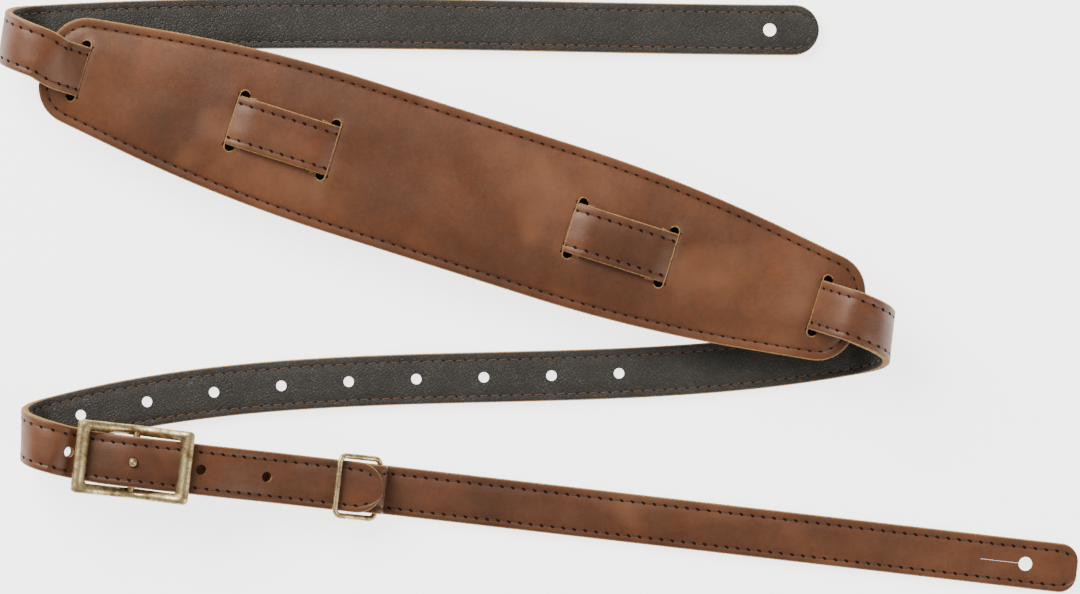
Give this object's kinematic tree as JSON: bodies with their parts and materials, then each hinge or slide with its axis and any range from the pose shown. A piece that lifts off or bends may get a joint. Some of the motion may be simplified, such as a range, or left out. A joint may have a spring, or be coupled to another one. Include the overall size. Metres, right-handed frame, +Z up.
{
  "type": "guitar strap",
  "caption": "Leather guitar strap folded flat, with a woven shoulder pad, a lined strap with punched holes, a two-bar buckle, a keeper ring and a tail strap.",
  "frame": {"origin": "middle of the folded layout, on the table it lies on", "axes": "+X to the tail's tip, +Y to the button run, +Z up from the table"},
  "size_m": [0.405, 0.2229, 0.032],
  "materials": {
    "brown_leather": "oiled pull-up leather, softly glossy",
    "dark_lining": "fine pebbled, matte",
    "foam": "soft foam",
    "antique_brass": "antiqued, with dark mottling"
  },
  "bodies": {
    "pad_section": {"pad_run_leather": "brown_leather", "pad_run_lining": "dark_lining", "shoulder_pad_leather": "brown_leather", "shoulder_pad_foam": "foam", "shoulder_pad_lining": "dark_lining"},
    "button_section": {"button_run_leather": "brown_leather", "button_run_lining": "dark_lining"},
    "adjuster_section": {"adjuster_run_leather": "brown_leather", "adjuster_run_lining": "dark_lining"},
    "tail_section": {"buckle_run_leather": "brown_leather", "buckle_run_lining": "dark_lining", "tail_strap_leather": "brown_leather", "tail_strap_lining": "dark_lining"},
    "buckle": {"buckle_frame": "antique_brass", "buckle_peg": "antique_brass"},
    "keeper": {"keeper_ring": "antique_brass"}
  },
  "joints": [
    {"name": "top_fold", "type": "hinge", "parent": "pad_section", "child": "button_section", "pos_m": [-0.20129, 0.09802, 0.01575], "axis": [0.153, 0.9882, 0], "range_deg": [0, 165]},
    {"name": "right_fold", "type": "hinge", "parent": "pad_section", "child": "adjuster_section", "pos_m": [0.13174, -0.01539, 0.01575], "axis": [-0.1097, -0.994, 0], "range_deg": [0, 165]},
    {"name": "low_fold", "type": "hinge", "parent": "adjuster_section", "child": "tail_section", "pos_m": [-0.19423, -0.05123, 0.01275], "axis": [-0.0174, -0.9998, 0], "range_deg": [0, 165]},
    {"name": "buckle_rock", "type": "hinge", "parent": "tail_section", "child": "buckle", "pos_m": [-0.1518, -0.0616, 0.017], "axis": [0.1149, 0.9934, 0], "range_deg": [-3, 3]},
    {"name": "keeper_swing", "type": "hinge", "parent": "tail_section", "child": "keeper", "pos_m": [-0.06091, -0.07212, 0.00615], "axis": [0.1149, 0.9934, 0], "range_deg": [0, 60]}
  ]
}
